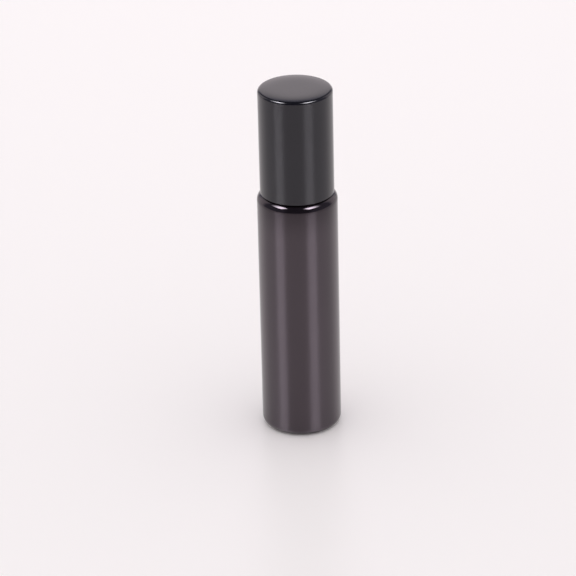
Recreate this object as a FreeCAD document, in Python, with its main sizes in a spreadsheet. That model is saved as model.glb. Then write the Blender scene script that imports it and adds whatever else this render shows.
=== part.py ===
import FreeCAD, Part
import Sketcher
import os

# A roll-on bottle that stands on z = 0 with its axis on Z, closed: a glass bottle with a threaded neck,
# a moulded housing pressed into the neck, a ball in the housing, and a cap made of shell, liner and seal.
# Radii grow outwards from the ball: housing cup, neck, thread, liner, shell.
# Heights grow upwards from the base: shoulder, rim, ball, seal, liner crown, cap top.

# Driving sizes in millimetres, or counts: word, value, meaning
SIZES = (
    ("body_diameter", 19.0, "outside of the glass body"),
    ("shoulder_height", 60.7, "base to shoulder"),
    ("shoulder_radius", 2.0, "round at the shoulder"),
    ("heel_radius", 1.8, "round at the heel"),
    ("glass_wall", 1.7, "glass at the side"),
    ("glass_base", 2.6, "glass at the base"),
    ("glass_shoulder", 2.0, "glass under the shoulder"),
    ("cavity_radius", 2.2, "rounds inside the body"),
    ("throat_radius", 0.9, "round where the body meets the neck bore"),
    ("bearing_width", 1.7, "ring that the bottle stands on"),
    ("punt_depth", 0.7, "hollow inside that ring"),
    ("neck_height", 13.0, "shoulder to rim"),
    ("neck_step", 0.25, "neck outside the housing cup"),
    ("neck_wall", 1.65, "glass at the neck"),
    ("neck_root_radius", 0.5, "fillet at the foot of the neck"),
    ("rim_radius", 0.35, "rounds on the rim"),
    ("thread_pitch", 3.0, "rise in one turn"),
    ("thread_depth", 0.65, "ridge on the neck"),
    ("thread_crest", 0.8, "ridge at its crest"),
    ("thread_flank_gap", 0.35, "between ridge sides"),
    ("thread_margin", 0.35, "foot of the liner to its first ridge"),
    ("thread_turns", 1.75, "turns on the neck"),
    ("thread_clearance", 0.15, "between crest and wall"),
    ("liner_thread_turns", 1.5, "turns in the liner"),
    ("ball_diameter", 9.5, "roller ball"),
    ("ball_clearance", 0.05, "ball to socket"),
    ("cup_wall", 0.8, "housing beside the ball"),
    ("cup_edge_radius", 0.6, "round on the housing lip"),
    ("lip_rise", 1.9, "lip above the middle of the ball"),
    ("seat_rise", 0.2, "ball seat above the rim"),
    ("flange_inset", 0.05, "flange inside the neck"),
    ("flange_thickness", 1.0, "flange on the rim"),
    ("plug_length", 7.0, "housing below the rim"),
    ("plug_wall", 0.85, "housing in the neck"),
    ("plug_clearance", 0.15, "plug to the neck bore"),
    ("plug_lead", 0.4, "chamfer at the foot of the plug"),
    ("fin_clearance", 0.03, "sealing fin to the neck bore"),
    ("fin_height", 0.5, "sealing fin at its root"),
    ("fin_drop", 2.4, "rim to the first fin"),
    ("fin_pitch", 1.2, "fin to fin"),
    ("fin_count", 3, "sealing fins"),
    ("slot_count", 4, "feed slots in the seat"),
    ("slot_width", 0.9, "feed slot across"),
    ("slot_depth", 0.6, "feed slot outside the bore"),
    ("slot_drop", 1.2, "feed slot below the seat"),
    ("seal_gap", 0.12, "ball to seal"),
    ("seal_thickness", 1.6, "seal over the ball"),
    ("seal_setback", 0.85, "seal inside the ball, at the side"),
    ("seal_edge", 0.5, "ring round the dish of the seal"),
    ("seal_flange", 0.9, "flange of the seal, thick"),
    ("seal_flange_step", 0.5, "flange of the seal, wide"),
    ("seal_play", 0.05, "seal to liner"),
    ("bead_height", 0.8, "bead that holds the seal"),
    ("collar_wall", 0.8, "collar round the seal"),
    ("liner_wall", 0.85, "liner at the side"),
    ("liner_top", 1.4, "liner crown"),
    ("liner_recess", 0.6, "liner above the foot of the shell"),
    ("rib_count", 18, "grip ribs on the liner"),
    ("rib_depth", 0.25, "liner to shell"),
    ("rib_width", 0.9, "grip rib across"),
    ("rib_clearance", 0.03, "grip rib to shell"),
    ("cap_gap", 0.1, "shoulder to cap"),
    ("cap_wall", 1.0, "shell at the side"),
    ("cap_top", 1.4, "shell at the top"),
    ("cap_edge_radius", 0.75, "round on the top edge of the cap"),
    ("cap_foot_radius", 0.1, "rounds on the foot of the cap"),
    ("overlap", 0.3, "how far a ridge, fin or rib roots in its wall"),
    ("round_flat", 0.1, "least flat between two rounds on one step"),
)

# Radii, from the axis outwards
BODY_R = "sizes.body_diameter / 2"
CAVITY_R = f"({BODY_R} - sizes.glass_wall)"
BALL_R = "sizes.ball_diameter / 2"
SOCKET_R = f"({BALL_R} + sizes.ball_clearance)"
CUP_R = f"({SOCKET_R} + sizes.cup_wall)"
NECK_R = f"({CUP_R} + sizes.neck_step)"
BORE_R = f"({NECK_R} - sizes.neck_wall)"
THREAD_R = f"({NECK_R} + sizes.thread_depth)"
FLANGE_R = f"({NECK_R} - sizes.flange_inset)"
PLUG_R = f"({BORE_R} - sizes.plug_clearance)"
FIN_R = f"({BORE_R} - sizes.fin_clearance)"
FEED_R = f"({PLUG_R} - sizes.plug_wall)"
SEAL_R = f"({BALL_R} - sizes.seal_setback)"
SEAL_FLANGE_R = f"({SEAL_R} + sizes.seal_flange_step)"
DISH_R = f"({BALL_R} + sizes.seal_gap)"
BEAD_R = f"({SEAL_R} + sizes.seal_play)"
COLLAR_BORE_R = f"({SEAL_FLANGE_R} + sizes.seal_play)"
COLLAR_R = f"({COLLAR_BORE_R} + sizes.collar_wall)"
LINER_BORE_R = f"({THREAD_R} + sizes.thread_clearance)"
LINER_RIDGE_R = f"({NECK_R} + sizes.thread_clearance)"
LINER_R = f"({LINER_BORE_R} + sizes.liner_wall)"
SHELL_BORE_R = f"({LINER_R} + sizes.rib_depth)"
CAP_R = f"({SHELL_BORE_R} + sizes.cap_wall)"
PUNT_RIM_R = f"({BODY_R} - sizes.heel_radius - sizes.bearing_width)"
PUNT_R = f"(({PUNT_RIM_R} ^ 2 + sizes.punt_depth ^ 2) / (2 * sizes.punt_depth))"

# Rounds that share a step with another round, and the thread ridge at its root
SHOULDER_ROUND = (f"min(sizes.shoulder_radius; "
                  f"{BODY_R} - {NECK_R} - sizes.neck_root_radius - sizes.round_flat)")
CAVITY_ROUND = (f"min(sizes.cavity_radius; "
                f"{CAVITY_R} - {BORE_R} - sizes.throat_radius - sizes.round_flat)")
THREAD_ROOT = "(sizes.thread_pitch - sizes.thread_crest - 2 * sizes.thread_flank_gap)"

# Heights, from the base upwards
FLOOR = "sizes.glass_base"
SHOULDER = "sizes.shoulder_height"
CAVITY_TOP = f"({SHOULDER} - sizes.glass_shoulder)"
CAP_FOOT = f"({SHOULDER} + sizes.cap_gap)"
LINER_FOOT = f"({CAP_FOOT} + sizes.liner_recess)"
LINER_THREAD_START = f"({LINER_FOOT} + sizes.thread_margin + {THREAD_ROOT} / 2)"
THREAD_START = f"({LINER_THREAD_START} + sizes.thread_pitch / 2)"
RIM = f"({SHOULDER} + sizes.neck_height)"
PLUG_FOOT = f"({RIM} - sizes.plug_length)"
FIRST_FIN = f"({RIM} - sizes.fin_drop)"
FLANGE_TOP = f"({RIM} + sizes.flange_thickness)"
SEAT = f"({RIM} + sizes.seat_rise)"
BALL_CENTRE = f"({SEAT} + sqrt({SOCKET_R} ^ 2 - {FEED_R} ^ 2))"
LIP = f"({BALL_CENTRE} + sizes.lip_rise)"
SEAL_FOOT = f"({BALL_CENTRE} + sqrt({DISH_R} ^ 2 - ({SEAL_R} - sizes.seal_edge) ^ 2))"
SEAL_TOP = f"({BALL_CENTRE} + {DISH_R} + sizes.seal_thickness)"
SEAL_FLANGE_FOOT = f"({SEAL_TOP} - sizes.seal_flange)"
BEAD_TOP = f"({SEAL_FLANGE_FOOT} - sizes.seal_play)"
BEAD_FOOT = f"({BEAD_TOP} - sizes.bead_height)"
CROWN = f"({SEAL_TOP} + sizes.seal_play)"
LINER_TOP = f"({CROWN} + sizes.liner_top)"
CAP_TOP = f"({LINER_TOP} + sizes.cap_top)"

AXIS = "0"
SAME_PLACE = 1e-4

doc = FreeCAD.newDocument("roll_on_bottle")
sheet = doc.addObject("Spreadsheet::Sheet", "sizes")
for row, (word, value, meaning) in enumerate(SIZES, start=1):
    sheet.set(f"A{row}", word)
    sheet.set(f"B{row}", str(value))
    sheet.set(f"C{row}", meaning)
    sheet.setAlias(f"B{row}", word)
doc.recompute()


def number(expression):
    """The present value of an expression in the sheet's words."""
    return float(sheet.evalExpression(expression))


def new_body(label):
    body = doc.addObject("PartDesign::Body", label)
    body.Label = label
    return body


def outline(body, name, corners, plane="XZ_Plane", height=None):
    """A closed sketch of straight sides, each corner held by two expressions measured from the axis."""
    sketch = body.newObject("Sketcher::SketchObject", name)
    origin_plane = next(item for item in body.Origin.OriginFeatures if item.Role == plane)
    sketch.AttachmentSupport = [(origin_plane, "")]
    sketch.MapMode = "FlatFace"
    if height:
        sketch.setExpression("AttachmentOffset.Base.z", height)
    points = [FreeCAD.Vector(number(across), number(along), 0) for across, along in corners]
    for start, end in zip(points, points[1:] + points[:1]):
        sketch.addGeometry(Part.LineSegment(start, end), False)
    for side in range(len(points)):
        sketch.addConstraint(Sketcher.Constraint("Coincident", side, 2, (side + 1) % len(points), 1))
    for side, corner in enumerate(corners):
        for direction, expression, axis in (("DistanceX", corner[0], -2), ("DistanceY", corner[1], -1)):
            if expression == AXIS:
                sketch.addConstraint(Sketcher.Constraint("PointOnObject", side, 1, axis))
                continue
            index = sketch.addConstraint(
                Sketcher.Constraint(direction, -1, 1, side, 1, number(expression)))
            sketch.renameConstraint(index, f"{direction}{side}")
            sketch.setExpression(f"Constraints.{direction}{side}", expression)
    return sketch


def built(feature, volume_before=None, cuts=False):
    """Recomputes and, for a change to a body, makes sure that it added or took away material."""
    doc.recompute()
    if volume_before is not None:
        change = feature.Shape.Volume - volume_before
        if change == 0 or (change < 0) != cuts:
            raise RuntimeError(f"{feature.Label} changed the volume by {change:.4f} mm3")
    return feature


def turned(body, name, corners):
    """A solid of revolution about Z."""
    sketch = outline(body, f"{name}_profile", corners)
    solid = body.newObject("PartDesign::Revolution", name)
    solid.Profile = sketch
    solid.ReferenceAxis = (sketch, ["V_Axis"])
    solid.Angle = 360
    return built(solid)


def turned_out(body, name, corners):
    """A hollow of revolution about Z."""
    before = body.Tip.Shape.Volume
    sketch = outline(body, f"{name}_profile", corners)
    hollow = body.newObject("PartDesign::Groove", name)
    hollow.Profile = sketch
    hollow.ReferenceAxis = (sketch, ["V_Axis"])
    hollow.Angle = 360
    return built(hollow, before, cuts=True)


def scooped(body, name, radius, height):
    """A ball-shaped hollow centred on the axis."""
    before = body.Tip.Shape.Volume
    ball = body.newObject("PartDesign::SubtractiveSphere", name)
    base_plane = next(item for item in body.Origin.OriginFeatures if item.Role == "XY_Plane")
    ball.AttachmentSupport = [(base_plane, "")]
    ball.MapMode = "FlatFace"
    ball.setExpression("Radius", radius)
    ball.setExpression("AttachmentOffset.Base.z", height)
    return built(ball, before, cuts=True)


def is_rim(edge, radius, height):
    """True for a full circle round the axis with that radius at that height."""
    if not isinstance(edge.Curve, Part.Circle) or not edge.Closed:
        return False
    centre = edge.Curve.Center
    off_axis = FreeCAD.Vector(centre.x, centre.y, 0).Length
    return max(off_axis, abs(centre.z - height), abs(edge.Curve.Radius - radius)) < SAME_PLACE


def rounded(body, name, size, *rims, feature="PartDesign::Fillet", driven="Radius"):
    """Rounds, or chamfers, circular edges, each given by its radius and height."""
    base = body.Tip
    found = []
    for radius, height in rims:
        places = [f"Edge{place}" for place, edge in enumerate(base.Shape.Edges, start=1)
                  if is_rim(edge, number(radius), number(height))]
        if len(places) != 1:
            raise RuntimeError(f"{name}: {len(places)} edges at {radius}, {height}")
        found += places
    edge_round = body.newObject(feature, name)
    edge_round.Base = (base, found)
    edge_round.setExpression(driven, size)
    return built(edge_round)


def wound(body, name, root, crest, start, turns):
    """A right-hand thread ridge, from its root radius to its crest radius."""
    before = body.Tip.Shape.Volume
    half_root = f"{THREAD_ROOT} / 2"
    half_crest = "sizes.thread_crest / 2"
    sketch = outline(body, f"{name}_profile", (
        (root, f"{start} - {half_root}"),
        (crest, f"{start} - {half_crest}"),
        (crest, f"{start} + {half_crest}"),
        (root, f"{start} + {half_root}"),
    ))
    ridge = body.newObject("PartDesign::AdditiveHelix", name)
    ridge.Profile = sketch
    ridge.ReferenceAxis = (sketch, ["V_Axis"])
    ridge.Mode = "pitch-turns-angle"
    ridge.setExpression("Pitch", "sizes.thread_pitch")
    ridge.setExpression("Turns", turns)
    ridge.LeftHanded = False
    ridge.Reversed = False
    return built(ridge, before)


def set_around(body, name, feature, sketch, count):
    """Repeats a feature evenly round the axis."""
    pattern = body.newObject("PartDesign::PolarPattern", name)
    pattern.Originals = [feature]
    pattern.Axis = (sketch, ["N_Axis"])
    pattern.Angle = 360
    pattern.setExpression("Occurrences", count)
    body.Tip = pattern
    return built(pattern)


# Glass bottle: body, neck, inside, hollow base and neck thread
bottle = new_body("glass_bottle")
turned(bottle, "blank", (
    (AXIS, AXIS),
    (BODY_R, AXIS),
    (BODY_R, SHOULDER),
    (NECK_R, SHOULDER),
    (NECK_R, RIM),
    (AXIS, RIM),
))
rounded(bottle, "heel", "sizes.heel_radius", (BODY_R, AXIS))
rounded(bottle, "shoulder", SHOULDER_ROUND, (BODY_R, SHOULDER))
rounded(bottle, "neck_root", "sizes.neck_root_radius", (NECK_R, SHOULDER))
turned_out(bottle, "inside", (
    (AXIS, FLOOR),
    (CAVITY_R, FLOOR),
    (CAVITY_R, CAVITY_TOP),
    (BORE_R, CAVITY_TOP),
    (BORE_R, RIM),
    (AXIS, RIM),
))
rounded(bottle, "cavity_rounds", CAVITY_ROUND, (CAVITY_R, FLOOR), (CAVITY_R, CAVITY_TOP))
rounded(bottle, "throat", "sizes.throat_radius", (BORE_R, CAVITY_TOP))
rounded(bottle, "rim_rounds", "sizes.rim_radius", (NECK_R, RIM), (BORE_R, RIM))
scooped(bottle, "punt", PUNT_R, f"sizes.punt_depth - {PUNT_R}")
wound(bottle, "neck_thread", f"{NECK_R} - sizes.overlap", THREAD_R, THREAD_START, "sizes.thread_turns")

# Roller housing: cup and flange above the rim, plug with sealing fins in the neck, feed slots in the seat
housing = new_body("roller_housing")
turned(housing, "blank", (
    (AXIS, PLUG_FOOT),
    (PLUG_R, PLUG_FOOT),
    (PLUG_R, RIM),
    (FLANGE_R, RIM),
    (FLANGE_R, FLANGE_TOP),
    (CUP_R, FLANGE_TOP),
    (CUP_R, LIP),
    (AXIS, LIP),
))
rounded(housing, "cup_edge", "sizes.cup_edge_radius", (CUP_R, LIP))
rounded(housing, "plug_lead", "sizes.plug_lead", (PLUG_R, PLUG_FOOT),
        feature="PartDesign::Chamfer", driven="Size")
turned_out(housing, "feed_bore", (
    (AXIS, PLUG_FOOT),
    (FEED_R, PLUG_FOOT),
    (FEED_R, BALL_CENTRE),
    (AXIS, BALL_CENTRE),
))
scooped(housing, "socket", SOCKET_R, BALL_CENTRE)

before_slots = housing.Tip.Shape.Volume
half_slot = "sizes.slot_width / 2"
slot_sketch = outline(housing, "slot_profile", (
    (f"{FEED_R} - sizes.overlap", f"-{half_slot}"),
    (f"{FEED_R} + sizes.slot_depth", f"-{half_slot}"),
    (f"{FEED_R} + sizes.slot_depth", half_slot),
    (f"{FEED_R} - sizes.overlap", half_slot),
), plane="XY_Plane", height=f"{SEAT} - sizes.slot_drop")
slot = housing.newObject("PartDesign::Pocket", "slot")
slot.Profile = slot_sketch
slot.Reversed = True
slot.setExpression("Length", f"{BALL_CENTRE} - {SEAT} + sizes.slot_drop")
built(slot, before_slots, cuts=True)
set_around(housing, "slots", slot, slot_sketch, "sizes.slot_count")

before_fins = housing.Tip.Shape.Volume
fin_sketch = outline(housing, "fin_profile", (
    (f"{PLUG_R} - sizes.overlap", f"{FIRST_FIN} - sizes.fin_height"),
    (PLUG_R, f"{FIRST_FIN} - sizes.fin_height"),
    (FIN_R, f"{FIRST_FIN} - sizes.fin_height / 4"),
    (FIN_R, FIRST_FIN),
    (f"{PLUG_R} - sizes.overlap", FIRST_FIN),
))
fin = housing.newObject("PartDesign::Revolution", "fin")
fin.Profile = fin_sketch
fin.ReferenceAxis = (fin_sketch, ["V_Axis"])
fin.Angle = 360
built(fin, before_fins)
fins = housing.newObject("PartDesign::LinearPattern", "fins")
fins.Originals = [fin]
fins.Direction = (fin_sketch, ["V_Axis"])
fins.Reversed = True
fins.setExpression("Length", "sizes.fin_pitch * (sizes.fin_count - 1)")
fins.setExpression("Occurrences", "sizes.fin_count")
housing.Tip = fins
built(fins)

# Roller ball
ball = doc.addObject("Part::Sphere", "roller_ball")
ball.Label = "roller_ball"
ball.setExpression("Radius", BALL_R)
ball.setExpression("Placement.Base.z", BALL_CENTRE)
built(ball)

# Cap seal: a soft plug with a dish for the ball below and a flange at the top
seal = new_body("cap_seal")
turned(seal, "blank", (
    (AXIS, SEAL_FOOT),
    (SEAL_R, SEAL_FOOT),
    (SEAL_R, SEAL_FLANGE_FOOT),
    (SEAL_FLANGE_R, SEAL_FLANGE_FOOT),
    (SEAL_FLANGE_R, SEAL_TOP),
    (AXIS, SEAL_TOP),
))
scooped(seal, "dish", DISH_R, BALL_CENTRE)

# Cap liner: threaded cup with a collar and bead that hold the seal, and grip ribs outside
liner = new_body("cap_liner")
turned(liner, "blank", (
    (AXIS, CROWN),
    (COLLAR_BORE_R, CROWN),
    (COLLAR_BORE_R, BEAD_TOP),
    (BEAD_R, BEAD_TOP),
    (BEAD_R, BEAD_FOOT),
    (COLLAR_R, BEAD_FOOT),
    (COLLAR_R, CROWN),
    (LINER_BORE_R, CROWN),
    (LINER_BORE_R, LINER_FOOT),
    (LINER_R, LINER_FOOT),
    (LINER_R, LINER_TOP),
    (AXIS, LINER_TOP),
))
before_ribs = liner.Tip.Shape.Volume
half_rib = "sizes.rib_width / 2"
rib_face = f"{SHELL_BORE_R} - sizes.rib_clearance"
rib_sketch = outline(liner, "rib_profile", (
    (f"{LINER_R} - sizes.overlap", f"-{half_rib}"),
    (rib_face, f"-{half_rib}"),
    (rib_face, half_rib),
    (f"{LINER_R} - sizes.overlap", half_rib),
), plane="XY_Plane", height=LINER_FOOT)
rib = liner.newObject("PartDesign::Pad", "rib")
rib.Profile = rib_sketch
rib.setExpression("Length", f"{LINER_TOP} - {LINER_FOOT}")
built(rib, before_ribs)
set_around(liner, "ribs", rib, rib_sketch, "sizes.rib_count")
wound(liner, "liner_thread", f"{LINER_BORE_R} + sizes.overlap", LINER_RIDGE_R,
      LINER_THREAD_START, "sizes.liner_thread_turns")

# Cap shell: the cup that shows, over the liner
shell = new_body("cap_shell")
turned(shell, "blank", (
    (AXIS, LINER_TOP),
    (SHELL_BORE_R, LINER_TOP),
    (SHELL_BORE_R, CAP_FOOT),
    (CAP_R, CAP_FOOT),
    (CAP_R, CAP_TOP),
    (AXIS, CAP_TOP),
))
rounded(shell, "top_edge", "sizes.cap_edge_radius", (CAP_R, CAP_TOP))
rounded(shell, "foot_edges", "sizes.cap_foot_radius", (CAP_R, CAP_FOOT), (SHELL_BORE_R, CAP_FOOT))

pieces = (bottle, housing, ball, seal, liner, shell)

# Everything is checked before anything is written
doc.recompute()
for item in doc.Objects:
    if "Invalid" in item.State or "Error" in item.State:
        raise RuntimeError(f"{item.Label} failed: {item.State}")
for piece in pieces:
    if piece.Shape.isNull() or not piece.Shape.isValid() or len(piece.Shape.Solids) != 1:
        raise RuntimeError(f"{piece.Label} is not one valid solid")

os.makedirs("parts", exist_ok=True)
for piece in pieces:
    piece.Shape.exportStep(f"parts/{piece.Label}.step")
    print(f"{piece.Label}: {piece.Shape.Volume:.1f} mm3, {len(piece.Shape.Faces)} faces")
print(f"bottle {number('sizes.body_diameter'):.2f} mm across, cap {2 * number(CAP_R):.2f} mm across, "
      f"{number(CAP_TOP):.2f} mm tall")
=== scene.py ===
import bmesh
import bpy
import math
from mathutils import Matrix, Vector


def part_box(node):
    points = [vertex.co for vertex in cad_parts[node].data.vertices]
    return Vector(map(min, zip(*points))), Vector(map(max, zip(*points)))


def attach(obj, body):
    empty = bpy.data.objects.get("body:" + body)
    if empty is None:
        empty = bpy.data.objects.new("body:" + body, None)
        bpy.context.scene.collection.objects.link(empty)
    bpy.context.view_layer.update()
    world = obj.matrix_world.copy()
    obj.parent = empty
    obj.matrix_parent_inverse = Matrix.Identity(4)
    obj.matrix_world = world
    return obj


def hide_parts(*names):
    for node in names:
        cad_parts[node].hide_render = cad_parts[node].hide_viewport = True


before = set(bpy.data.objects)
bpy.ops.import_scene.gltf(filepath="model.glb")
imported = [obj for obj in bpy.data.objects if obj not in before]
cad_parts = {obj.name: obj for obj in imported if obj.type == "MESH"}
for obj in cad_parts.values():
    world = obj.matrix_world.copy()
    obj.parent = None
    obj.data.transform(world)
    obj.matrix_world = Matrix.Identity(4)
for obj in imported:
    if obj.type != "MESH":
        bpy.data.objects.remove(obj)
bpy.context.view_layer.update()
mm = 0.001
print("frame loaded:", ", ".join(sorted(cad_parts)))

# where the solids are, so that every piece is made in its place
bottleLow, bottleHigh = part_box("glass_bottle")
housingLow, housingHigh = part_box("roller_housing")
ballLow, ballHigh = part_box("roller_ball")
sealLow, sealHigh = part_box("cap_seal")
linerLow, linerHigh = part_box("cap_liner")
shellLow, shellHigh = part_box("cap_shell")

# clearances and walls that several pieces share
fits = {
    "capGap": 0.1 * mm,          # shoulder to the foot of the cap
    "flangeInset": 0.05 * mm,    # housing flange inside the neck
    "neckWall": 1.65 * mm,
    "threadDepth": 0.65 * mm,
    "threadClearance": 0.15 * mm,
    "threadPitch": 3.0 * mm,
    "ridgeReach": 0.05 * mm,     # points this near a wall are lifted into its thread
    "ribDepth": 0.25 * mm,       # liner to shell
    "sealPlay": 0.05 * mm,
    "ballClearance": 0.05 * mm,
    "sealGap": 0.12 * mm,        # ball to the dish of the seal
}
bodyRadius = bottleHigh.x
rimHeight = bottleHigh.z
capFoot = shellLow.z
capTop = shellHigh.z
shoulderHeight = capFoot - fits["capGap"]
neckRadius = housingHigh.x + fits["flangeInset"]
boreRadius = neckRadius - fits["neckWall"]
linerBore = neckRadius + fits["threadDepth"] + fits["threadClearance"]
ballRadius = (ballHigh.z - ballLow.z) / 2
ballCentre = (ballHigh.z + ballLow.z) / 2


# turned pieces: an outline of radius and height, rounded, then spun about the axis

turning = {"segments": 160, "arcStep": math.radians(9), "holdGap": 0.05 * mm, "weld": 0.0001 * mm}


def roundedOutline(corners, closed):
    # each corner is (radius, height, round); an arc has a holding row on either side
    points = []
    count = len(corners)
    for index, (radius, height, size) in enumerate(corners):
        here = Vector((radius, height))
        ends = not closed and index in (0, count - 1)
        if size == 0 or ends:
            points.append(here)
            continue
        before = Vector(corners[index - 1][:2])
        after = Vector(corners[(index + 1) % count][:2])
        back = (before - here).normalized()
        ahead = (after - here).normalized()
        half = back.angle(ahead) / 2
        reach = size / math.tan(half)
        centre = here + (back + ahead).normalized() * (size / math.sin(half))
        start = here + back * reach
        end = here + ahead * reach
        turn = math.pi - 2 * half
        side = 1 if (start - centre).cross(end - centre) > 0 else -1
        steps = max(3, math.ceil(turn / turning["arcStep"]))
        if (before - start).length > 2 * turning["holdGap"]:
            points.append(start + back * turning["holdGap"])
        for step in range(steps + 1):
            angle = side * turn * step / steps
            points.append(centre + Matrix.Rotation(angle, 2) @ (start - centre))
        if (after - end).length > 2 * turning["holdGap"]:
            points.append(end + ahead * turning["holdGap"])
    return points


def ballRun(centreHeight, radius, fromHeight, toHeight, steps):
    # part of a ball's outline, given by its two end heights
    run = []
    first = math.asin((fromHeight - centreHeight) / radius)
    last = math.asin((toHeight - centreHeight) / radius)
    for step in range(steps + 1):
        angle = first + (last - first) * step / steps
        across = max(0.0, radius * math.cos(angle))
        run.append((across, centreHeight + radius * math.sin(angle), 0))
    return run


def straightRun(radius, fromHeight, toHeight, steps):
    rise = toHeight - fromHeight
    return [(radius, fromHeight + rise * step / steps, 0) for step in range(steps + 1)]


def spin(name, corners, closed=False):
    mesh = bmesh.new()
    rows = []
    segments = turning["segments"]
    for point in roundedOutline(corners, closed):
        if point.x < turning["weld"]:
            rows.append([mesh.verts.new((0, 0, point.y))])
            continue
        row = []
        for segment in range(segments):
            angle = 2 * math.pi * segment / segments
            row.append(mesh.verts.new((point.x * math.cos(angle), point.x * math.sin(angle), point.y)))
        rows.append(row)
    pairs = list(zip(rows, rows[1:]))
    if closed:
        pairs.append((rows[-1], rows[0]))
    for lower, upper in pairs:
        for segment in range(segments):
            following = (segment + 1) % segments
            ring = [lower[segment % len(lower)], lower[following % len(lower)],
                    upper[following % len(upper)], upper[segment % len(upper)]]
            mesh.faces.new(list(dict.fromkeys(ring)))
    return finishMesh(name, mesh)


def finishMesh(name, mesh):
    bmesh.ops.remove_doubles(mesh, verts=mesh.verts, dist=turning["weld"])
    bmesh.ops.recalc_face_normals(mesh, faces=mesh.faces)
    data = bpy.data.meshes.new(name)
    mesh.to_mesh(data)
    mesh.free()
    data.shade_smooth()
    piece = bpy.data.objects.new(name, data)
    bpy.context.scene.collection.objects.link(piece)
    return piece


# node trees

realSocket = "NodeSocketFloat"
countSocket = "NodeSocketInt"
finishSocket = "NodeSocketMaterial"


def newTree(name, inputs):
    tree = bpy.data.node_groups.new(name, "GeometryNodeTree")
    tree.interface.new_socket("Geometry", in_out="INPUT", socket_type="NodeSocketGeometry")
    for title, kind in inputs.items():
        tree.interface.new_socket(title, in_out="INPUT", socket_type=kind)
    tree.interface.new_socket("Geometry", in_out="OUTPUT", socket_type="NodeSocketGeometry")
    return tree, tree.nodes.new("NodeGroupInput"), tree.nodes.new("NodeGroupOutput")


def feed(tree, socket, value):
    if isinstance(value, bpy.types.NodeSocket):
        tree.links.new(value, socket)
    else:
        socket.default_value = value


def calc(tree, operation, first, second=0.0):
    node = tree.nodes.new("ShaderNodeMath")
    node.operation = operation
    feed(tree, node.inputs[0], first)
    feed(tree, node.inputs[1], second)
    return node.outputs[0]


def remap(tree, value, source, target, kind="LINEAR"):
    node = tree.nodes.new("ShaderNodeMapRange")
    node.interpolation_type = kind
    for socket, amount in zip(node.inputs, (value, *source, *target)):
        feed(tree, socket, amount)
    return node.outputs[0]


def ease(tree, value, source, target):
    return remap(tree, value, source, target, "SMOOTHSTEP")


def takeApart(tree, vector):
    node = tree.nodes.new("ShaderNodeSeparateXYZ")
    feed(tree, node.inputs[0], vector)
    return node.outputs


def closeTree(tree, source, outgoing, geometry):
    realize = tree.nodes.new("GeometryNodeRealizeInstances")
    paint = tree.nodes.new("GeometryNodeSetMaterial")
    feed(tree, realize.inputs["Geometry"], geometry)
    feed(tree, paint.inputs["Geometry"], realize.outputs["Geometry"])
    feed(tree, paint.inputs["Material"], source.outputs["Material"])
    feed(tree, outgoing.inputs["Geometry"], paint.outputs["Geometry"])


def grow(piece, tree, values):
    # runs a tree on a piece and keeps the result as its plain mesh
    modifier = piece.modifiers.new(tree.name, "NODES")
    modifier.node_group = tree
    for item in tree.interface.items_tree:
        if item.in_out == "INPUT" and item.name in values:
            modifier[item.identifier] = values[item.name]
    bpy.context.view_layer.update()
    evaluated = piece.evaluated_get(bpy.context.evaluated_depsgraph_get())
    grown = bpy.data.meshes.new_from_object(evaluated)
    piece.modifiers.remove(modifier)
    piece.data = grown
    grown.name = piece.name
    grown.shade_smooth()


def threadTree():
    # lifts a winding ridge out of a round wall, outwards or, with a negative depth, inwards
    titles = ("Wall Radius", "Wall Reach", "Pitch", "Depth", "Crest", "Root", "Start", "Turns", "Run Out")
    tree, source, outgoing = newTree("windingRidge", {
        **{title: realSocket for title in titles}, "Material": finishSocket})
    size = source.outputs
    across, along, up = takeApart(tree, tree.nodes.new("GeometryNodeInputPosition").outputs[0])
    squares = [calc(tree, "MULTIPLY", part, part) for part in (across, along)]
    radius = calc(tree, "SQRT", calc(tree, "ADD", *squares))
    # which turn of the ridge passes nearest, counted from its start
    turned = calc(tree, "DIVIDE", calc(tree, "ARCTAN2", along, across), 2 * math.pi)
    level = calc(tree, "DIVIDE", calc(tree, "SUBTRACT", up, size["Start"]), size["Pitch"])
    turnHere = calc(tree, "ADD", turned, calc(tree, "ROUND", calc(tree, "SUBTRACT", level, turned)))
    missed = calc(tree, "ABSOLUTE", calc(tree, "SUBTRACT", level, turnHere))
    offMiddle = calc(tree, "MULTIPLY", missed, size["Pitch"])
    # flanks of the ridge, and its two ends
    flank = [calc(tree, "DIVIDE", size[title], 2.0) for title in ("Crest", "Root")]
    ridge = ease(tree, offMiddle, flank, (1.0, 0.0))
    runIn = ease(tree, turnHere, (0.0, size["Run Out"]), (0.0, 1.0))
    lastFull = calc(tree, "SUBTRACT", size["Turns"], size["Run Out"])
    runOut = ease(tree, turnHere, (lastFull, size["Turns"]), (1.0, 0.0))
    height = calc(tree, "MULTIPLY", calc(tree, "MULTIPLY", ridge, size["Depth"]),
                  calc(tree, "MULTIPLY", runIn, runOut))
    outward = calc(tree, "DIVIDE", height, radius)
    offset = tree.nodes.new("ShaderNodeCombineXYZ")
    for socket, part in zip(offset.inputs, (across, along)):
        feed(tree, socket, calc(tree, "MULTIPLY", part, outward))
    offWall = calc(tree, "ABSOLUTE", calc(tree, "SUBTRACT", radius, size["Wall Radius"]))
    move = tree.nodes.new("GeometryNodeSetPosition")
    feed(tree, move.inputs["Geometry"], size["Geometry"])
    feed(tree, move.inputs["Selection"], calc(tree, "LESS_THAN", offWall, size["Wall Reach"]))
    feed(tree, move.inputs["Offset"], offset.outputs[0])
    closeTree(tree, source, outgoing, move.outputs[0])
    return tree


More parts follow.
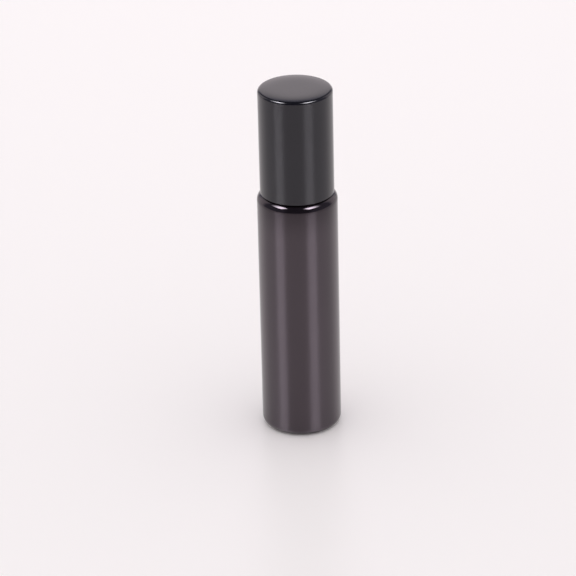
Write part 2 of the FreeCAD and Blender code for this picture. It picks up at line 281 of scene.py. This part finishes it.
def standRound(tree, size, shape):
    # stands copies of a shape evenly round the axis, with their feet at one height
    ring = tree.nodes.new("GeometryNodeMeshCircle")
    feed(tree, ring.inputs["Vertices"], size["Count"])
    feed(tree, ring.inputs["Radius"], size["Ring Radius"])
    lift = tree.nodes.new("ShaderNodeCombineXYZ")
    half = calc(tree, "DIVIDE", size["Height"], 2.0)
    feed(tree, lift.inputs[2], calc(tree, "ADD", size["Foot"], half))
    move = tree.nodes.new("GeometryNodeTransform")
    feed(tree, move.inputs["Geometry"], shape)
    feed(tree, move.inputs["Translation"], lift.outputs[0])
    copies = tree.nodes.new("GeometryNodeInstanceOnPoints")
    feed(tree, copies.inputs["Points"], ring.outputs["Mesh"])
    feed(tree, copies.inputs["Instance"], move.outputs["Geometry"])
    return copies


def ribTree():
    # half-round ribs evenly round the axis, joined to the piece
    tree, source, outgoing = newTree("gripRibs", {
        "Count": countSocket, "Ring Radius": realSocket, "Rib Radius": realSocket, "Sides": countSocket,
        "Foot": realSocket, "Height": realSocket, "Material": finishSocket})
    size = source.outputs
    rib = tree.nodes.new("GeometryNodeMeshCylinder")
    feed(tree, rib.inputs["Vertices"], size["Sides"])
    feed(tree, rib.inputs["Radius"], size["Rib Radius"])
    feed(tree, rib.inputs["Depth"], size["Height"])
    ribs = standRound(tree, size, rib.outputs["Mesh"])
    join = tree.nodes.new("GeometryNodeJoinGeometry")
    feed(tree, join.inputs["Geometry"], ribs.outputs["Instances"])
    feed(tree, join.inputs["Geometry"], size["Geometry"])
    closeTree(tree, source, outgoing, join.outputs["Geometry"])
    return tree


def slotTree():
    # upright slots evenly round the axis, cut out of the piece
    tree, source, outgoing = newTree("feedSlots", {
        "Count": countSocket, "Ring Radius": realSocket, "Depth": realSocket, "Width": realSocket,
        "Foot": realSocket, "Height": realSocket, "Material": finishSocket})
    size = source.outputs
    extent = tree.nodes.new("ShaderNodeCombineXYZ")
    for socket, title in zip(extent.inputs, ("Depth", "Width", "Height")):
        feed(tree, socket, size[title])
    block = tree.nodes.new("GeometryNodeMeshCube")
    feed(tree, block.inputs["Size"], extent.outputs[0])
    blocks = standRound(tree, size, block.outputs["Mesh"])
    face = tree.nodes.new("FunctionNodeAlignRotationToVector")   # each block looks away from the axis
    face.axis = "X"
    face.pivot_axis = "Z"
    feed(tree, face.inputs["Vector"], tree.nodes.new("GeometryNodeInputPosition").outputs[0])
    feed(tree, blocks.inputs["Rotation"], face.outputs["Rotation"])
    loose = tree.nodes.new("GeometryNodeRealizeInstances")
    feed(tree, loose.inputs["Geometry"], blocks.outputs["Instances"])
    cut = tree.nodes.new("GeometryNodeMeshBoolean")
    cut.operation = "DIFFERENCE"
    cut.solver = "EXACT"
    feed(tree, cut.inputs["Mesh 1"], size["Geometry"])
    feed(tree, cut.inputs["Mesh 2"], loose.outputs["Geometry"])
    closeTree(tree, source, outgoing, cut.outputs["Mesh"])
    return tree


windingRidge = threadTree()
gripRibs = ribTree()
feedSlots = slotTree()
print("node trees ready")


# finishes; a pair of colours or of roughnesses is what the finish wanders between

noiseReach = (0.3, 0.7)   # nearly all values of a noise lie between these


def newFinish(name):
    material = bpy.data.materials.new(name)
    material.use_nodes = True
    tree = material.node_tree
    shader = tree.nodes["Principled BSDF"]
    place = tree.nodes.new("ShaderNodeTexCoord").outputs["Object"]
    return material, tree, shader, place


def stretched(tree, place, scale):
    mapping = tree.nodes.new("ShaderNodeMapping")
    feed(tree, mapping.inputs["Scale"], scale)
    feed(tree, mapping.inputs["Vector"], place)
    return mapping.outputs["Vector"]


def mottle(tree, place, grain, detail=2.0, roughness=0.5):
    # soft noise whose blobs are about as wide as grain
    noise = tree.nodes.new("ShaderNodeTexNoise")
    feed(tree, noise.inputs["Vector"], place)
    feed(tree, noise.inputs["Scale"], 1 / grain)
    feed(tree, noise.inputs["Detail"], detail)
    feed(tree, noise.inputs["Roughness"], roughness)
    return noise.outputs["Fac"]


def spread(tree, noise, target):
    return remap(tree, noise, noiseReach, target)


def tint(tree, value, low, high):
    node = tree.nodes.new("ShaderNodeMix")
    node.data_type = "RGBA"
    feed(tree, node.inputs["Factor"], value)
    feed(tree, node.inputs[6], low)    # the two colour sockets of a mix
    feed(tree, node.inputs[7], high)
    return node.outputs[2]


def dress(tree, shader, values):
    for title, value in values.items():
        feed(tree, shader.inputs[title], value)


def relief(tree, shader, value, depth, strength):
    bump = tree.nodes.new("ShaderNodeBump")
    feed(tree, bump.inputs["Strength"], strength)
    feed(tree, bump.inputs["Distance"], depth)
    feed(tree, bump.inputs["Height"], value)
    feed(tree, shader.inputs["Normal"], bump.outputs["Normal"])


lacquer = {
    "colours": ((0.0042, 0.0028, 0.0038, 1), (0.0060, 0.0042, 0.0054, 1)),
    "filmGrain": 6 * mm, "filmStretch": (1, 1, 0.25), "hazeGrain": 0.5 * mm, "roughness": (0.045, 0.085),
    "ior": 1.69, "shineTint": (1.0, 0.845, 0.945, 1),
    "thinFrom": -9.7 * mm, "thinTo": 3.3 * mm, "shine": (0.535, 0.23),   # heights from the shoulder
    "rippleGrain": 0.9 * mm, "rippleDepth": 0.004 * mm, "ripple": 0.25,
}


def violetLacquer():
    # a strong tinted gloss over almost no colour of its own; the film thins out towards the shoulder
    material, tree, shader, place = newFinish("violetLacquer")
    film = mottle(tree, stretched(tree, place, lacquer["filmStretch"]), lacquer["filmGrain"], detail=1)
    haze = mottle(tree, place, lacquer["hazeGrain"], detail=4)
    thinning = (shoulderHeight + lacquer["thinFrom"], shoulderHeight + lacquer["thinTo"])
    dress(tree, shader, {
        "Base Color": tint(tree, spread(tree, film, (0.0, 1.0)), *lacquer["colours"]),
        "Roughness": spread(tree, haze, lacquer["roughness"]),
        "IOR": lacquer["ior"],
        "Specular Tint": lacquer["shineTint"],
        "Specular IOR Level": ease(tree, takeApart(tree, place)[2], thinning, lacquer["shine"]),
    })
    ripple = mottle(tree, place, lacquer["rippleGrain"], detail=1)
    relief(tree, shader, ripple, lacquer["rippleDepth"], lacquer["ripple"])
    return material


gloss = {
    "colours": ((0.0038, 0.0036, 0.0062, 1), (0.0060, 0.0056, 0.0090, 1)),
    "flowGrain": 3 * mm, "flowStretch": (0.35, 1.6, 0.35), "flowDepth": 0.01 * mm, "flow": 0.3,
    "rubGrain": 0.4 * mm, "roughness": (0.09, 0.15), "ior": 1.5, "shineTint": (1.0, 0.97, 1.0, 1),
}


def blackGloss():
    # polished black moulding with faint flow streaks and rub marks
    material, tree, shader, place = newFinish("blackGloss")
    flow = mottle(tree, stretched(tree, place, gloss["flowStretch"]), gloss["flowGrain"], detail=3)
    rub = mottle(tree, place, gloss["rubGrain"], detail=5, roughness=0.65)
    dress(tree, shader, {
        "Base Color": tint(tree, flow, *gloss["colours"]),
        "Roughness": spread(tree, rub, gloss["roughness"]),
        "IOR": gloss["ior"],
        "Specular Tint": gloss["shineTint"],
    })
    relief(tree, shader, flow, gloss["flowDepth"], gloss["flow"])
    return material


milk = {
    "colours": ((0.74, 0.76, 0.75, 1), (0.82, 0.84, 0.83, 1)), "cloudGrain": 1.5 * mm,
    "hazeGrain": 0.25 * mm, "roughness": (0.34, 0.46), "ior": 1.51,
    "glow": 0.6, "glowRadius": (1.0, 1.0, 0.95), "glowDepth": 0.9 * mm,
    "skinGrain": 0.3 * mm, "skinDepth": 0.01 * mm, "skin": 0.3,
}


def milkyPlastic():
    material, tree, shader, place = newFinish("milkyPlastic")
    cloud = mottle(tree, place, milk["cloudGrain"], detail=3)
    haze = mottle(tree, place, milk["hazeGrain"], detail=4)
    dress(tree, shader, {
        "Base Color": tint(tree, cloud, *milk["colours"]),
        "Roughness": spread(tree, haze, milk["roughness"]),
        "Subsurface Weight": milk["glow"],
        "Subsurface Radius": milk["glowRadius"],
        "Subsurface Scale": milk["glowDepth"],
        "IOR": milk["ior"],
    })
    relief(tree, shader, mottle(tree, place, milk["skinGrain"], detail=2), milk["skinDepth"], milk["skin"])
    return material


steel = {
    "colours": ((0.60, 0.60, 0.61, 1), (0.70, 0.70, 0.71, 1)), "shadeGrain": 2 * mm,
    "scratchGrain": 0.12 * mm, "scratchStretch": (1, 0.08, 0.6), "roughness": (0.05, 0.13),
    "scratchDepth": 0.002 * mm, "scratch": 0.2,
}


def polishedSteel():
    material, tree, shader, place = newFinish("polishedSteel")
    shade = mottle(tree, place, steel["shadeGrain"], detail=4)
    scratch = mottle(tree, stretched(tree, place, steel["scratchStretch"]), steel["scratchGrain"], detail=3)
    dress(tree, shader, {
        "Base Color": tint(tree, shade, *steel["colours"]),
        "Metallic": 1.0,
        "Roughness": spread(tree, scratch, steel["roughness"]),
    })
    relief(tree, shader, scratch, steel["scratchDepth"], steel["scratch"])
    return material


satin = {
    "colours": ((0.018, 0.018, 0.019, 1), (0.03, 0.03, 0.032, 1)), "cloudGrain": 1.2 * mm,
    "grain": 0.15 * mm, "roughness": (0.38, 0.5), "grainDepth": 0.01 * mm, "relief": 0.35,
}


def blackSatin():
    material, tree, shader, place = newFinish("blackSatin")
    cloud = mottle(tree, place, satin["cloudGrain"], detail=3)
    grain = mottle(tree, place, satin["grain"], detail=3)
    dress(tree, shader, {
        "Base Color": tint(tree, cloud, *satin["colours"]),
        "Roughness": spread(tree, grain, satin["roughness"]),
    })
    relief(tree, shader, grain, satin["grainDepth"], satin["relief"])
    return material


white = {
    "colours": ((0.70, 0.70, 0.67, 1), (0.79, 0.79, 0.77, 1)), "cloudGrain": 1.0 * mm,
    "grain": 0.12 * mm, "roughness": (0.5, 0.65), "grainDepth": 0.015 * mm, "relief": 0.4,
    "glow": 0.3, "glowDepth": 0.5 * mm,
}


def softWhite():
    material, tree, shader, place = newFinish("softWhite")
    cloud = mottle(tree, place, white["cloudGrain"], detail=4)
    grain = mottle(tree, place, white["grain"], detail=4)
    dress(tree, shader, {
        "Base Color": tint(tree, cloud, *white["colours"]),
        "Roughness": spread(tree, grain, white["roughness"]),
        "Subsurface Weight": white["glow"],
        "Subsurface Scale": white["glowDepth"],
    })
    relief(tree, shader, grain, white["grainDepth"], white["relief"])
    return material


# glass bottle

bottle = {
    "heelRound": 1.8 * mm, "shoulderRound": 2.0 * mm, "neckRootRound": 0.5 * mm, "rimRound": 0.35 * mm,
    "wall": 1.7 * mm, "base": 2.6 * mm, "shoulderGlass": 2.0 * mm, "insideRound": 2.2 * mm,
    "throatRound": 0.9 * mm, "bearingWidth": 1.7 * mm, "puntDepth": 0.7 * mm, "puntSteps": 10,
    "threadFoot": 2.2 * mm, "threadTop": 10.0 * mm, "threadRows": 84,   # heights above the shoulder
    "threadStart": 3.3 * mm, "threadTurns": 1.75, "threadCrest": 0.8 * mm, "threadRoot": 1.28 * mm,
    "threadRunOut": 0.12,
}


def makeBottle():
    puntRim = bodyRadius - bottle["heelRound"] - bottle["bearingWidth"]
    puntDepth = bottle["puntDepth"]
    puntRadius = (puntRim ** 2 + puntDepth ** 2) / (2 * puntDepth)
    insideRadius = bodyRadius - bottle["wall"]
    insideTop = shoulderHeight - bottle["shoulderGlass"]
    corners = ballRun(puntDepth - puntRadius, puntRadius, puntDepth, 0, bottle["puntSteps"])
    corners += [
        (bodyRadius, 0, bottle["heelRound"]),
        (bodyRadius, shoulderHeight, bottle["shoulderRound"]),
        (neckRadius, shoulderHeight, bottle["neckRootRound"]),
    ]
    corners += straightRun(neckRadius, shoulderHeight + bottle["threadFoot"],
                           shoulderHeight + bottle["threadTop"], bottle["threadRows"])
    corners += [
        (neckRadius, rimHeight, bottle["rimRound"]),
        (boreRadius, rimHeight, bottle["rimRound"]),
        (boreRadius, insideTop, bottle["throatRound"]),
        (insideRadius, insideTop, bottle["insideRound"]),
        (insideRadius, bottle["base"], bottle["insideRound"]),
        (0, bottle["base"], 0),
    ]
    piece = spin("bottleBody", corners)
    grow(piece, windingRidge, {
        "Wall Radius": neckRadius, "Wall Reach": fits["ridgeReach"], "Pitch": fits["threadPitch"],
        "Depth": fits["threadDepth"], "Crest": bottle["threadCrest"], "Root": bottle["threadRoot"],
        "Start": shoulderHeight + bottle["threadStart"], "Turns": bottle["threadTurns"],
        "Run Out": bottle["threadRunOut"], "Material": violetLacquer()})
    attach(piece, "bottle")
    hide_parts("glass_bottle")


makeBottle()
print("bottle blown")


# roller housing

housing = {
    "cupWall": 0.8 * mm, "cupRound": 0.6 * mm, "flangeThick": 1.0 * mm, "flangeRound": 0.2 * mm,
    "cornerRound": 0.08 * mm, "plugClearance": 0.15 * mm, "plugWall": 0.85 * mm, "plugLead": 0.4 * mm,
    "finClearance": 0.03 * mm, "finHeight": 0.5 * mm, "finDrop": 2.4 * mm, "finPitch": 1.2 * mm,
    "finCount": 3, "socketSteps": 22,
    "slotCount": 4, "slotWidth": 0.9 * mm, "slotDepth": 0.6 * mm, "slotDrop": 1.2 * mm,
    "slotInside": 0.4 * mm,
}


def makeHousing():
    socketRadius = ballRadius + fits["ballClearance"]
    cupRadius = socketRadius + housing["cupWall"]
    plugRadius = boreRadius - housing["plugClearance"]
    feedRadius = plugRadius - housing["plugWall"]
    finRadius = boreRadius - housing["finClearance"]
    seat = ballCentre - math.sqrt(socketRadius ** 2 - feedRadius ** 2)
    plugFoot = housingLow.z
    lip = housingHigh.z
    flangeTop = rimHeight + housing["flangeThick"]
    small = housing["cornerRound"]
    corners = [
        (feedRadius, plugFoot, small),
        (plugRadius - housing["plugLead"], plugFoot, small),
        (plugRadius, plugFoot + housing["plugLead"], small),
    ]
    for fin in reversed(range(housing["finCount"])):
        top = rimHeight - housing["finDrop"] - fin * housing["finPitch"]
        corners += [
            (plugRadius, top - housing["finHeight"], 0),
            (finRadius, top - housing["finHeight"] / 4, 0),
            (finRadius, top, 0),
            (plugRadius, top, 0),
        ]
    corners += [
        (plugRadius, rimHeight, small),
        (housingHigh.x, rimHeight, small),
        (housingHigh.x, flangeTop, housing["flangeRound"]),
        (cupRadius, flangeTop, small),
        (cupRadius, lip, housing["cupRound"]),
        (math.sqrt(socketRadius ** 2 - (lip - ballCentre) ** 2), lip, 0),
    ]
    corners += ballRun(ballCentre, socketRadius, lip, seat, housing["socketSteps"])[1:]
    piece = spin("rollerHousing", corners, closed=True)
    foot = seat - housing["slotDrop"]
    grow(piece, feedSlots, {
        "Count": housing["slotCount"],
        "Ring Radius": feedRadius + (housing["slotDepth"] - housing["slotInside"]) / 2,
        "Depth": housing["slotDepth"] + housing["slotInside"], "Width": housing["slotWidth"],
        "Foot": foot, "Height": ballCentre - foot, "Material": milkyPlastic()})
    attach(piece, "bottle")
    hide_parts("roller_housing")


makeHousing()
print("housing moulded")


# roller ball

ball = {"cuts": 31}   # rows of faces on each side of the cube that is blown up to a ball


def makeBall():
    mesh = bmesh.new()
    bmesh.ops.create_cube(mesh, size=2)
    bmesh.ops.subdivide_edges(mesh, edges=mesh.edges, cuts=ball["cuts"], use_grid_fill=True)
    for vertex in mesh.verts:
        even = Vector([math.tan(part * math.pi / 4) for part in vertex.co])   # rows evenly wide
        vertex.co = even.normalized() * ballRadius + Vector((0, 0, ballCentre))
    piece = finishMesh("rollerBall", mesh)
    piece.data.materials.append(polishedSteel())
    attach(piece, "ball")
    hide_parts("roller_ball")


makeBall()
print("ball ground")


# cap seal

seal = {
    "setback": 0.85 * mm, "flangeThick": 0.9 * mm, "edgeRound": 0.12 * mm, "dishSteps": 14,
}
sealRadius = ballRadius - seal["setback"]
sealFlangeFoot = sealHigh.z - seal["flangeThick"]


def makeSeal():
    dishRadius = ballRadius + fits["sealGap"]
    edge = seal["edgeRound"]
    corners = ballRun(ballCentre, dishRadius, ballCentre + dishRadius, sealLow.z, seal["dishSteps"])
    corners += [
        (sealRadius, sealLow.z, edge),
        (sealRadius, sealFlangeFoot, edge),
        (sealHigh.x, sealFlangeFoot, edge),
        (sealHigh.x, sealHigh.z, edge),
        (0, sealHigh.z, 0),
    ]
    piece = spin("capSeal", corners)
    piece.data.materials.append(softWhite())
    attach(piece, "seal")
    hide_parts("cap_seal")


# cap liner

liner = {
    "wall": 0.85 * mm, "beadHeight": 0.8 * mm, "collarWall": 0.8 * mm,
    "edgeRound": 0.12 * mm, "topRound": 0.3 * mm,
    "threadFoot": 0.5 * mm, "threadTop": 7.6 * mm, "threadRows": 78,   # heights above the liner's foot
    "threadStart": 1.1 * mm, "threadTurns": 1.5, "threadCrest": 0.8 * mm, "threadRoot": 1.28 * mm,
    "threadRunOut": 0.12,
    "ribCount": 18, "ribWidth": 0.9 * mm, "ribSides": 16, "ribClearance": 0.03 * mm,
}
linerRadius = linerBore + liner["wall"]
shellBore = linerRadius + fits["ribDepth"]


def makeLiner():
    edge = liner["edgeRound"]
    foot = linerLow.z
    crown = sealHigh.z + fits["sealPlay"]
    collarBore = sealHigh.x + fits["sealPlay"]
    collarRadius = collarBore + liner["collarWall"]
    beadRadius = sealRadius + fits["sealPlay"]
    beadTop = sealFlangeFoot - fits["sealPlay"]
    beadFoot = beadTop - liner["beadHeight"]
    corners = [
        (0, crown, 0),
        (collarBore, crown, edge),
        (collarBore, beadTop, edge),
        (beadRadius, beadTop, edge),
        (beadRadius, beadFoot, edge),
        (collarRadius, beadFoot, edge),
        (collarRadius, crown, edge),
        (linerBore, crown, edge),
    ]
    corners += straightRun(linerBore, foot + liner["threadTop"], foot + liner["threadFoot"],
                           liner["threadRows"])
    corners += [
        (linerBore, foot, edge),
        (linerRadius, foot, edge),
        (linerRadius, linerHigh.z, liner["topRound"]),
        (0, linerHigh.z, 0),
    ]
    piece = spin("capLiner", corners)
    finish = blackSatin()
    grow(piece, windingRidge, {
        "Wall Radius": linerBore, "Wall Reach": fits["ridgeReach"], "Pitch": fits["threadPitch"],
        "Depth": -fits["threadDepth"], "Crest": liner["threadCrest"], "Root": liner["threadRoot"],
        "Start": foot + liner["threadStart"], "Turns": liner["threadTurns"],
        "Run Out": liner["threadRunOut"], "Material": finish})
    ribRadius = liner["ribWidth"] / 2
    grow(piece, gripRibs, {
        "Count": liner["ribCount"], "Ring Radius": shellBore - liner["ribClearance"] - ribRadius,
        "Rib Radius": ribRadius, "Sides": liner["ribSides"], "Foot": foot,
        "Height": linerHigh.z - foot, "Material": finish})
    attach(piece, "cap")
    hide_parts("cap_liner")


# cap shell

shell = {
    "crown": 0.12 * mm, "crownPower": 6, "crownSteps": 18,   # the top falls away softly near its rim
    "rimWidth": 0.75 * mm, "edgeRound": 0.7 * mm, "footRound": 0.1 * mm, "insideRound": 0.2 * mm,
}


def makeShell():
    crownEnd = shellHigh.x - shell["rimWidth"]
    corners = []
    for step in range(shell["crownSteps"] + 1):
        share = math.sqrt(step / shell["crownSteps"])
        corners.append((crownEnd * share, capTop - shell["crown"] * share ** shell["crownPower"], 0))
    rimSlope = shell["crown"] * shell["crownPower"] / crownEnd
    corners += [
        (shellHigh.x, capTop - shell["crown"] - rimSlope * shell["rimWidth"], shell["edgeRound"]),
        (shellHigh.x, capFoot, shell["footRound"]),
        (shellBore, capFoot, shell["footRound"]),
        (shellBore, linerHigh.z, shell["insideRound"]),
        (0, linerHigh.z, 0),
    ]
    piece = spin("capShell", corners)
    piece.data.materials.append(blackGloss())
    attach(piece, "cap")
    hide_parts("cap_shell")


makeSeal()
makeLiner()
makeShell()
print("cap assembled")


# floor, surroundings and lamps

studio = {
    "floorSize": 6.0, "floorGrid": 8, "floorGrain": 0.2, "floorGloss": 0.36, "floorIor": 1.8,
    "floorColours": ((0.975, 0.921, 0.928, 1), (0.98475, 0.93021, 0.93728, 1)),
    "ambient": 1.0, "backLight": 1.62, "cornerLight": 1.2, "sideLight": 0.3, "frontLight": 0.1,
    "backReach": (0.8, 0.97), "cornerReach": (0.18, 0.45), "sideReach": (0.35, 0.7),
    "plainTint": (1, 1, 1, 1), "backTint": (1.0, 0.92, 0.96, 1), "darkTint": (0.85, 0.9, 1.2, 1),
    "lampDistance": 1.0, "lampColour": (0.95, 0.95, 1.0),
}
boxes = {   # seen in the rounds of the cap and the shoulder
    "azimuths": (-75, 57), "peaks": (0.7, 0.3), "elevation": 53,
    "width": 0.76, "height": 0.36, "radiance": 25.0,
}
cards = {   # light the floor in two streaks that the upright sides reflect
    "azimuths": (-54, 39), "elevation": 24, "width": 0.42, "height": 0.34, "radiance": 10.5,
}


def makeFloor():
    mesh = bmesh.new()
    bmesh.ops.create_grid(mesh, x_segments=studio["floorGrid"], y_segments=studio["floorGrid"],
                          size=studio["floorSize"] / 2)
    floor = finishMesh("floor", mesh)
    material, tree, shader, place = newFinish("paleFloor")
    dress(tree, shader, {
        "Base Color": tint(tree, mottle(tree, place, studio["floorGrain"]), *studio["floorColours"]),
        "Roughness": studio["floorGloss"],
        "IOR": studio["floorIor"],
    })
    floor.data.materials.append(material)
    return floor


def makeSurroundings():
    world = bpy.data.worlds.new("studio")
    bpy.context.scene.world = world
    world.use_nodes = True
    tree = world.node_tree
    background = tree.nodes["Background"]
    direction = tree.nodes.new("ShaderNodeTexCoord").outputs["Generated"]
    sideways, backwards = takeApart(tree, direction)[:2]
    rays = tree.nodes.new("ShaderNodeLightPath").outputs
    mirrored = calc(tree, "MAXIMUM", rays["Is Glossy Ray"], rays["Is Transmission Ray"])
    # reflections show a bright back wall and back corners, grey sides and a dark front and ceiling
    toSide = ease(tree, calc(tree, "ABSOLUTE", sideways), studio["sideReach"], (0.0, 1.0))
    corner = ease(tree, backwards, studio["cornerReach"], (studio["sideLight"], studio["cornerLight"]))
    behind = ease(tree, backwards, studio["backReach"], (studio["frontLight"], studio["backLight"]))
    reflected = calc(tree, "MAXIMUM", behind, calc(tree, "MULTIPLY", toSide, corner))
    shown = calc(tree, "MULTIPLY", mirrored, reflected)
    unseen = calc(tree, "MULTIPLY", calc(tree, "SUBTRACT", 1.0, mirrored), studio["ambient"])
    strength = calc(tree, "MAXIMUM", calc(tree, "ADD", shown, unseen), rays["Is Camera Ray"])
    colour = tint(tree, reflected, studio["darkTint"], studio["backTint"])
    feed(tree, background.inputs["Strength"], strength)
    feed(tree, background.inputs["Color"], tint(tree, mirrored, studio["plainTint"], colour))


def hangLamp(name, azimuth, lamp):
    light = bpy.data.lights.new(name, "AREA")
    light.shape = "RECTANGLE"
    light.size = lamp["width"]
    light.size_y = lamp["height"]
    light.color = studio["lampColour"]
    light.energy = lamp["radiance"] * math.pi * lamp["width"] * lamp["height"]
    holder = bpy.data.objects.new(name, light)
    turn = math.radians(azimuth)
    lift = math.radians(lamp["elevation"])
    way = Vector((math.sin(turn) * math.cos(lift), -math.cos(turn) * math.cos(lift), math.sin(lift)))
    holder.location = Vector((0, 0, capTop / 2)) + way * studio["lampDistance"]
    holder.rotation_euler = way.to_track_quat("Z", "Y").to_euler()
    holder.visible_diffuse = False
    bpy.context.scene.collection.objects.link(holder)
    return holder


def fadeToEnds(holder, peak):
    # brightest at the peak, a share of the lamp's width, and dark at both ends
    holder.data.use_nodes = True
    tree = holder.data.node_tree
    across = takeApart(tree, tree.nodes.new("ShaderNodeNewGeometry").outputs["Parametric"])[0]
    rise = ease(tree, across, (0.0, peak), (0.0, 1.0))
    fall = ease(tree, across, (peak, 1.0), (1.0, 0.0))
    feed(tree, tree.nodes["Emission"].inputs["Strength"], calc(tree, "MULTIPLY", rise, fall))


floor = makeFloor()
makeSurroundings()
floorAlone = bpy.data.collections.new("floorAlone")
floorAlone.objects.link(floor)
for azimuth, peak in zip(boxes["azimuths"], boxes["peaks"]):
    fadeToEnds(hangLamp("box", azimuth, boxes), peak)
for azimuth in cards["azimuths"]:
    hangLamp("card", azimuth, cards).light_linking.receiver_collection = floorAlone
print("studio lit")


# camera, from the outlines in the photograph

view = {
    "place": (-2.68 * mm, -667.22 * mm, 366.41 * mm), "pitch": 26.394, "roll": -1.363,
    "focalPixels": 3131.0, "pictureWidth": 576, "sensor": 36.0,
}


def makeCamera():
    lens = bpy.data.cameras.new("camera")
    lens.sensor_width = view["sensor"]
    lens.lens = view["focalPixels"] / view["pictureWidth"] * view["sensor"]
    camera = bpy.data.objects.new("camera", lens)
    pitch = Matrix.Rotation(math.radians(90 - view["pitch"]), 4, "X")
    roll = Matrix.Rotation(math.radians(view["roll"]), 4, "Z")
    camera.matrix_world = Matrix.Translation(view["place"]) @ pitch @ roll
    bpy.context.scene.collection.objects.link(camera)
    bpy.context.scene.camera = camera


makeCamera()
bpy.context.scene.view_settings.view_transform = "Standard"
